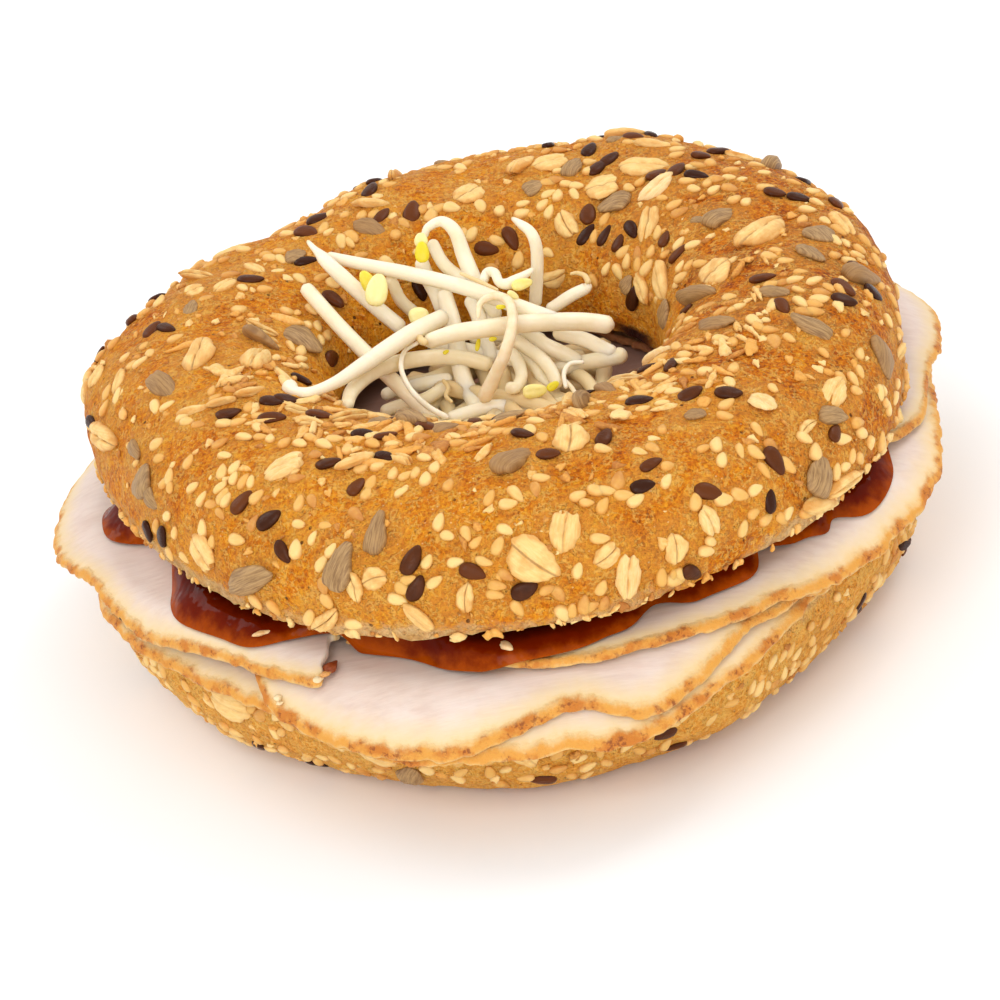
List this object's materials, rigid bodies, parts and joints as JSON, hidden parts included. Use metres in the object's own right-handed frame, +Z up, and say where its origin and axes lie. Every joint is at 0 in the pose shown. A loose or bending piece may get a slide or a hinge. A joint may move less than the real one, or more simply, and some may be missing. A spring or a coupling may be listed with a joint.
{
  "type": "bagel sandwich",
  "caption": "Cut wholegrain bagel with mixed seeds, filled with thin roast turkey slices and dark red sauce, with bean sprouts heaped in its hole.",
  "frame": {"origin": "under the middle of the whole sandwich's box, on the surface that it rests on", "axes": "+Z up through the hole, -Y towards the side that the picture shows, +X to the right of it"},
  "size_m": [0.1344, 0.1325, 0.052],
  "materials": {
    "crust": "baked golden brown crust with sesame, flax and sunflower seeds and oat flakes",
    "turkey": "moist pale sliced roast meat, browned at the rim",
    "sauce": "glossy thick dark red sauce",
    "sprout": "moist, slightly see-through cream stems"
  },
  "bodies": {
    "root": {"bagel_bottom": "crust", "bagel_top": "crust", "turkey_slice_1": "turkey", "turkey_slice_2": "turkey", "turkey_slice_3": "turkey", "turkey_slice_4": "turkey", "turkey_slice_5": "turkey", "sauce": "sauce", "bean_sprouts": "sprout"}
  },
  "joints": []
}
